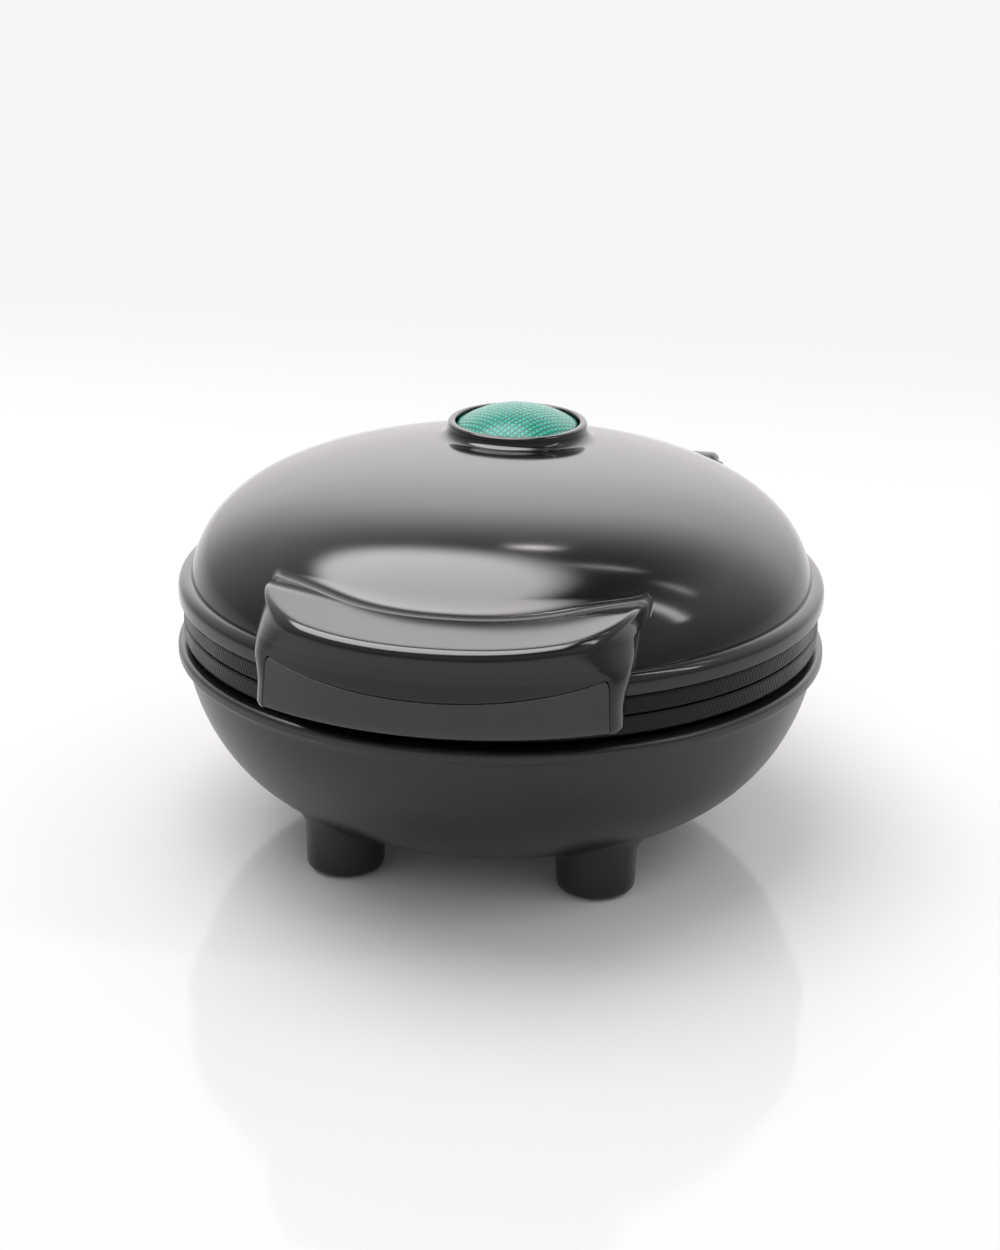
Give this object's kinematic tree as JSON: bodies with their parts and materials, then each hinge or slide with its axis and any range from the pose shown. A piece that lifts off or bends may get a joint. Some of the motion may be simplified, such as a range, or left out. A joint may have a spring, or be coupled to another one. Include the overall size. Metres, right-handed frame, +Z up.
{
  "type": "mini waffle maker",
  "caption": "Countertop mini waffle maker: round non-stick plates in a domed lid and a bowl base joined by a rear hinge, with a front handle and an indicator lens.",
  "frame": {"origin": "centre of the footprint at the bottom of the foot pads, on the round body's own axis within 0.5 mm", "axes": "+Z up out of the lid, -Y towards the handle, +Y towards the hinge, X across the hinge"},
  "size_m": [0.127, 0.1488, 0.0809],
  "materials": {
    "lid_gloss": "polished black moulding",
    "base_satin": "satin black moulding",
    "grip_matte": "fine matte texture",
    "plate_coating": "dark non-stick coating on cast aluminium",
    "lens_green": "clear green moulding with a prism pattern",
    "holder_white": "plain white moulding",
    "pad_rubber": "soft rubber",
    "pin_steel": "ground steel",
    "cap_black": "satin black",
    "gland_black": "satin black nylon",
    "screw_steel": "zinc plated",
    "element_steel": "heat darkened steel sheath",
    "clamp_steel": "plain rolled steel",
    "shield_aluminium": "thin rolled sheet",
    "ceramic_white": "glazed ceramic look",
    "thermostat_brown": "dark moulded resin",
    "fuse_metal": "drawn metal can",
    "clip_steel": "thin spring steel",
    "wire_white": "silicone covered wire",
    "lead_metal": "tinned wire",
    "sleeve_glass": "woven glass fibre",
    "lamp_glass": "clear glass"
  },
  "bodies": {
    "base": {"base_shell": "base_satin", "foot_pads": "pad_rubber", "lower_plate": "plate_coating", "lower_plate_screws": "screw_steel", "lower_element": "element_steel", "lower_element_clamp": "clamp_steel", "lower_heat_shield": "shield_aluminium", "lower_clamp_screw": "screw_steel", "terminal_block": "ceramic_white", "terminal_block_screw": "screw_steel", "base_wires": "wire_white", "base_wire_sleeve": "sleeve_glass", "cord_gland": "gland_black", "hinge_pins": "pin_steel", "hinge_caps": "cap_black"},
    "lid": {"lid_cover": "lid_gloss", "handle_grip": "grip_matte", "handle_screws": "screw_steel", "indicator_lens": "lens_green", "lamp_holder": "holder_white", "lamp_holder_screws": "screw_steel", "neon_lamp": "lamp_glass", "lamp_leads": "lead_metal", "upper_plate": "plate_coating", "upper_element": "element_steel", "upper_element_clamp": "clamp_steel", "upper_heat_shield": "shield_aluminium", "upper_clamp_screw": "screw_steel", "thermostat": "thermostat_brown", "thermostat_screws": "screw_steel", "thermal_fuse": "fuse_metal", "fuse_clip": "clip_steel", "fuse_clip_screw": "screw_steel", "lid_wires": "wire_white", "lid_wire_sleeve": "sleeve_glass"}
  },
  "joints": [
    {"name": "lid_hinge", "type": "hinge", "parent": "base", "child": "lid", "pos_m": [0, 0.0665, 0.0525], "axis": [-1, 0, 0], "range_deg": [0, 100]}
  ]
}
